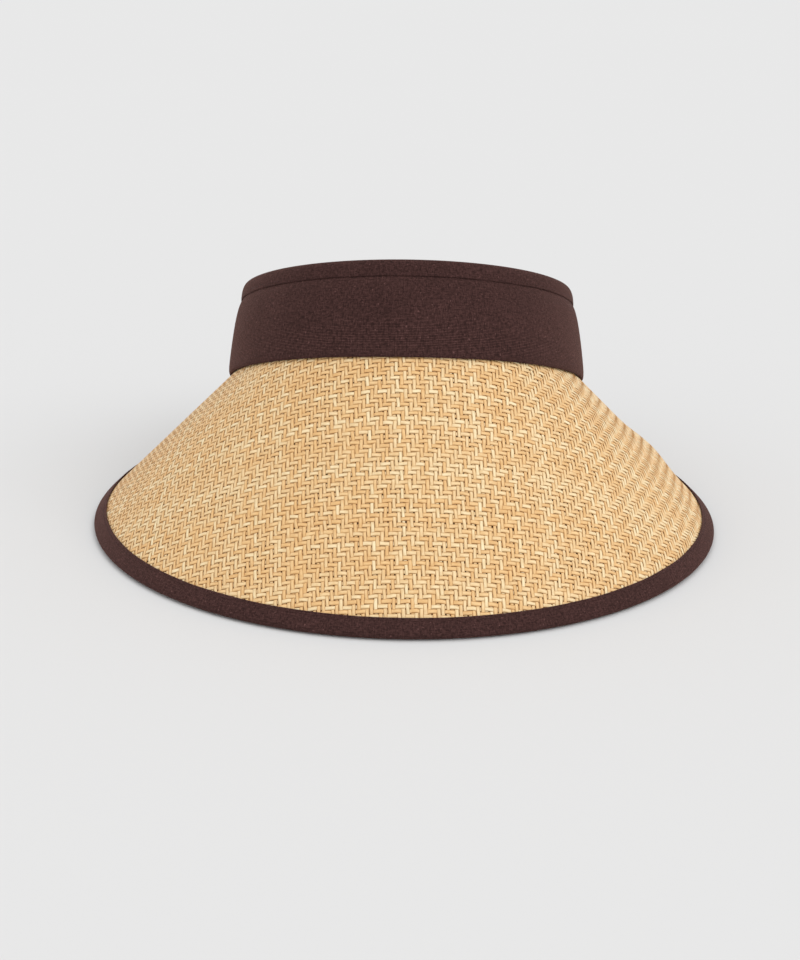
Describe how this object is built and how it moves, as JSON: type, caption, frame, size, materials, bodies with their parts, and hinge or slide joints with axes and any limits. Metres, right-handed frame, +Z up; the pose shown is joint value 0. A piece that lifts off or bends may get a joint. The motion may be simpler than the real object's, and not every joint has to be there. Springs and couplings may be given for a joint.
{
  "type": "sun visor",
  "caption": "Open-top sun visor: wide woven paper straw brim with a bound edge, on a padded fabric headband that closes at the back with hook and loop tape.",
  "frame": {"origin": "middle of the visor's outline, on the surface that the brim's bound edge stands on", "axes": "+Z up from that surface, -Y towards the front of the brim, +X to the right seen from the front"},
  "size_m": [0.298, 0.2953, 0.1358],
  "materials": {
    "straw": "woven flat paper straw, twill, slight sheen",
    "lining": "dark thin backing cloth",
    "brown_cotton": "plain weave dark brown cotton",
    "thread": "polyester sewing thread",
    "wire": "bright spring wire",
    "wire_cap": "moulded sleeve",
    "foam": "soft foam sheet",
    "stiffener": "flexible sheet",
    "sweatband": "brushed cotton twill",
    "hook_tape": "moulded nylon hooks",
    "loop_tape": "napped nylon loops",
    "label": "satin ribbon, blank"
  },
  "bodies": {
    "visor": {"brim_straw": "straw", "brim_lining": "lining", "brim_edge_binding": "brown_cotton", "brim_edge_stitching": "thread", "brim_edge_wire": "wire", "wire_end_caps": "wire_cap", "band_cover": "brown_cotton", "band_foam": "foam", "band_stiffener": "stiffener", "sweatband": "sweatband", "top_binding": "brown_cotton", "top_binding_stitching": "thread", "brim_seam_tape": "brown_cotton", "brim_seam_stitching": "thread", "closure_tab_root": "brown_cotton", "loop_tape": "loop_tape", "loop_tape_stitching": "thread", "tab_root_stitching": "thread", "tab_bar_tacks": "thread", "size_label": "label", "care_label": "label"},
    "tab": {"closure_tab": "brown_cotton", "hook_tape": "hook_tape", "hook_tape_stitching": "thread"}
  },
  "joints": [
    {"name": "tab_peel", "type": "hinge", "parent": "visor", "child": "tab", "pos_m": [-0.01095, 0.14382, 0.03877], "axis": [0.0119, 0.2829, 0.9591], "range_deg": [0, 110]}
  ]
}
